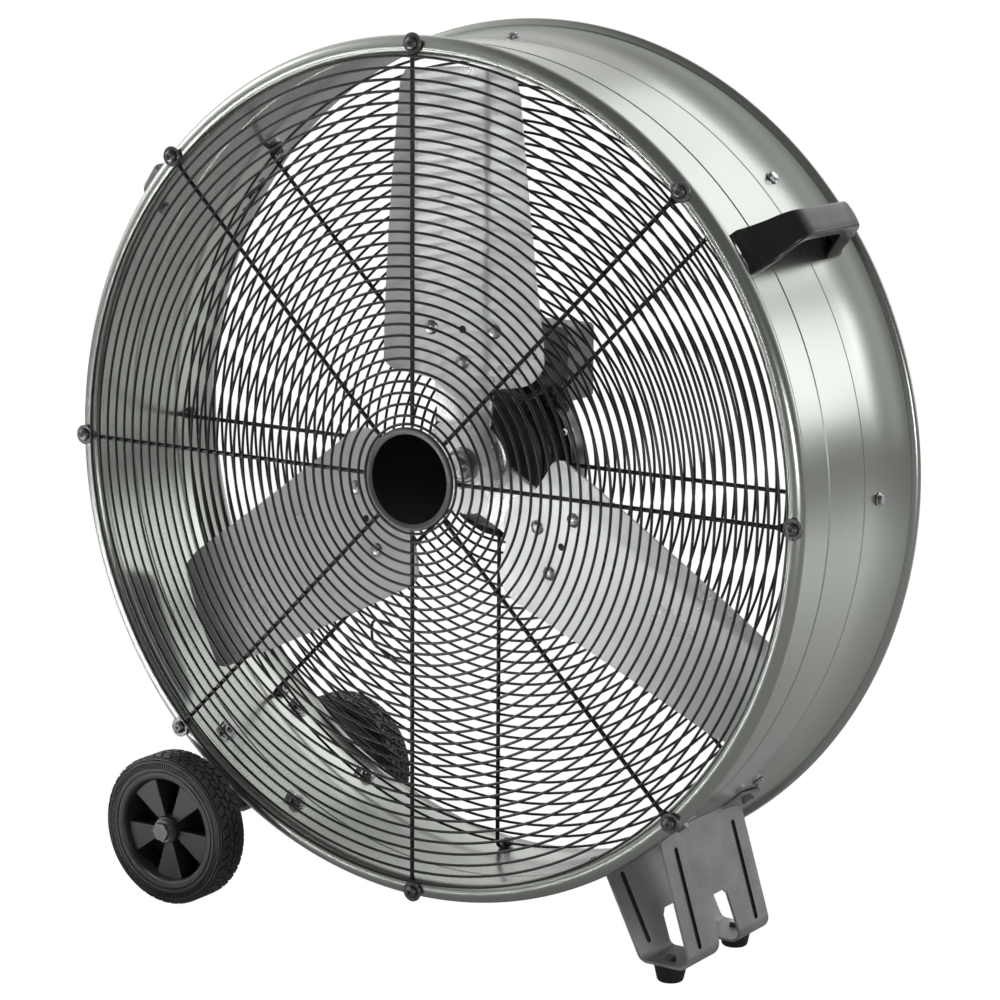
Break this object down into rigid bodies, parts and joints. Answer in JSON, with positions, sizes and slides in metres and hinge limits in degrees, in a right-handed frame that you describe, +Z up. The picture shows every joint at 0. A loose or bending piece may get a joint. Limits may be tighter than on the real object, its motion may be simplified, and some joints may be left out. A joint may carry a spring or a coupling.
{
  "type": "drum fan",
  "caption": "Large drum fan with wire guards, a three-blade rotor, carrying handles, and an undercarriage with wheels on one side and rubber feet on the other.",
  "frame": {"origin": "on the floor, under the middle of the undercarriage; the fan axis is above it", "axes": "+Z up, +Y from the front guard to the back, X across the fan, with the rubber feet on +X and the wheels on -X"},
  "size_m": [0.8051, 0.3168, 0.8386],
  "materials": {
    "drum_coat": "satin",
    "guard_wire": "satin",
    "screw_black": "satin",
    "bezel_plastic": "satin",
    "badge_gloss": "gloss",
    "zinc": "satin",
    "motor_black": "satin",
    "bell_grey": "satin",
    "bearing_steel": "satin",
    "core_steel": "matt",
    "spider_steel": "polished",
    "blade_metal": "satin",
    "box_grey": "satin",
    "black_plastic": "satin",
    "lead_rubber": "matt",
    "bracket_coat": "satin",
    "foot_rubber": "matt",
    "axle_head": "satin",
    "tyre_rubber": "matt"
  },
  "bodies": {
    "frame": {"drum_shell": "drum_coat", "front_guard_rings": "guard_wire", "front_guard_spokes": "guard_wire", "front_guard_screws": "screw_black", "badge_bezel": "bezel_plastic", "badge_disc": "badge_gloss", "rear_guard_rings": "guard_wire", "rear_guard_spokes": "guard_wire", "rear_guard_bolts": "zinc", "rear_guard_nuts": "zinc", "motor_mount_ring": "guard_wire", "motor_mount_bolts": "zinc", "motor_body": "motor_black", "motor_front_bell": "bell_grey", "motor_rear_cover": "motor_black", "front_bearing": "bearing_steel", "rear_bearing": "bearing_steel", "stator": "core_steel", "control_box": "box_grey", "control_box_lid": "box_grey", "cable_gland": "black_plastic", "motor_lead": "lead_rubber", "cord_hook": "black_plastic", "handle_right": "black_plastic", "handle_left": "black_plastic", "handle_screws": "screw_black", "foot_bracket": "bracket_coat", "wheel_bracket": "bracket_coat", "bracket_bolts": "zinc", "bracket_nuts": "zinc", "rubber_foot_front": "foot_rubber", "rubber_foot_rear": "foot_rubber", "foot_screws": "zinc", "axle": "bearing_steel", "axle_sleeves": "bearing_steel", "axle_bolts": "axle_head"},
    "rotor": {"motor_shaft": "bearing_steel", "rotor_core": "core_steel", "spider_hub": "spider_steel", "blade_1": "blade_metal", "blade_2": "blade_metal", "blade_3": "blade_metal", "blade_rivets": "zinc", "hub_nut": "bearing_steel"},
    "front_wheel": {"front_wheel_rim": "black_plastic", "front_wheel_tyre": "tyre_rubber"},
    "rear_wheel": {"rear_wheel_rim": "black_plastic", "rear_wheel_tyre": "tyre_rubber"},
    "speed_switch": {"speed_knob": "black_plastic"}
  },
  "joints": [
    {"name": "fan_spin", "type": "hinge", "parent": "frame", "child": "rotor", "pos_m": [0, 0, 0.436], "axis": [0, 1, 0], "continuous": true},
    {"name": "front_wheel_spin", "type": "hinge", "parent": "frame", "child": "front_wheel", "pos_m": [-0.257, -0.13535, 0.0726], "axis": [0, 1, 0], "continuous": true},
    {"name": "rear_wheel_spin", "type": "hinge", "parent": "frame", "child": "rear_wheel", "pos_m": [-0.257, 0.13535, 0.0726], "axis": [0, 1, 0], "continuous": true},
    {"name": "speed_switch_turn", "type": "hinge", "parent": "frame", "child": "speed_switch", "pos_m": [0, 0.091, 0.532], "axis": [0, 1, 0], "range_deg": [0, 90]}
  ]
}
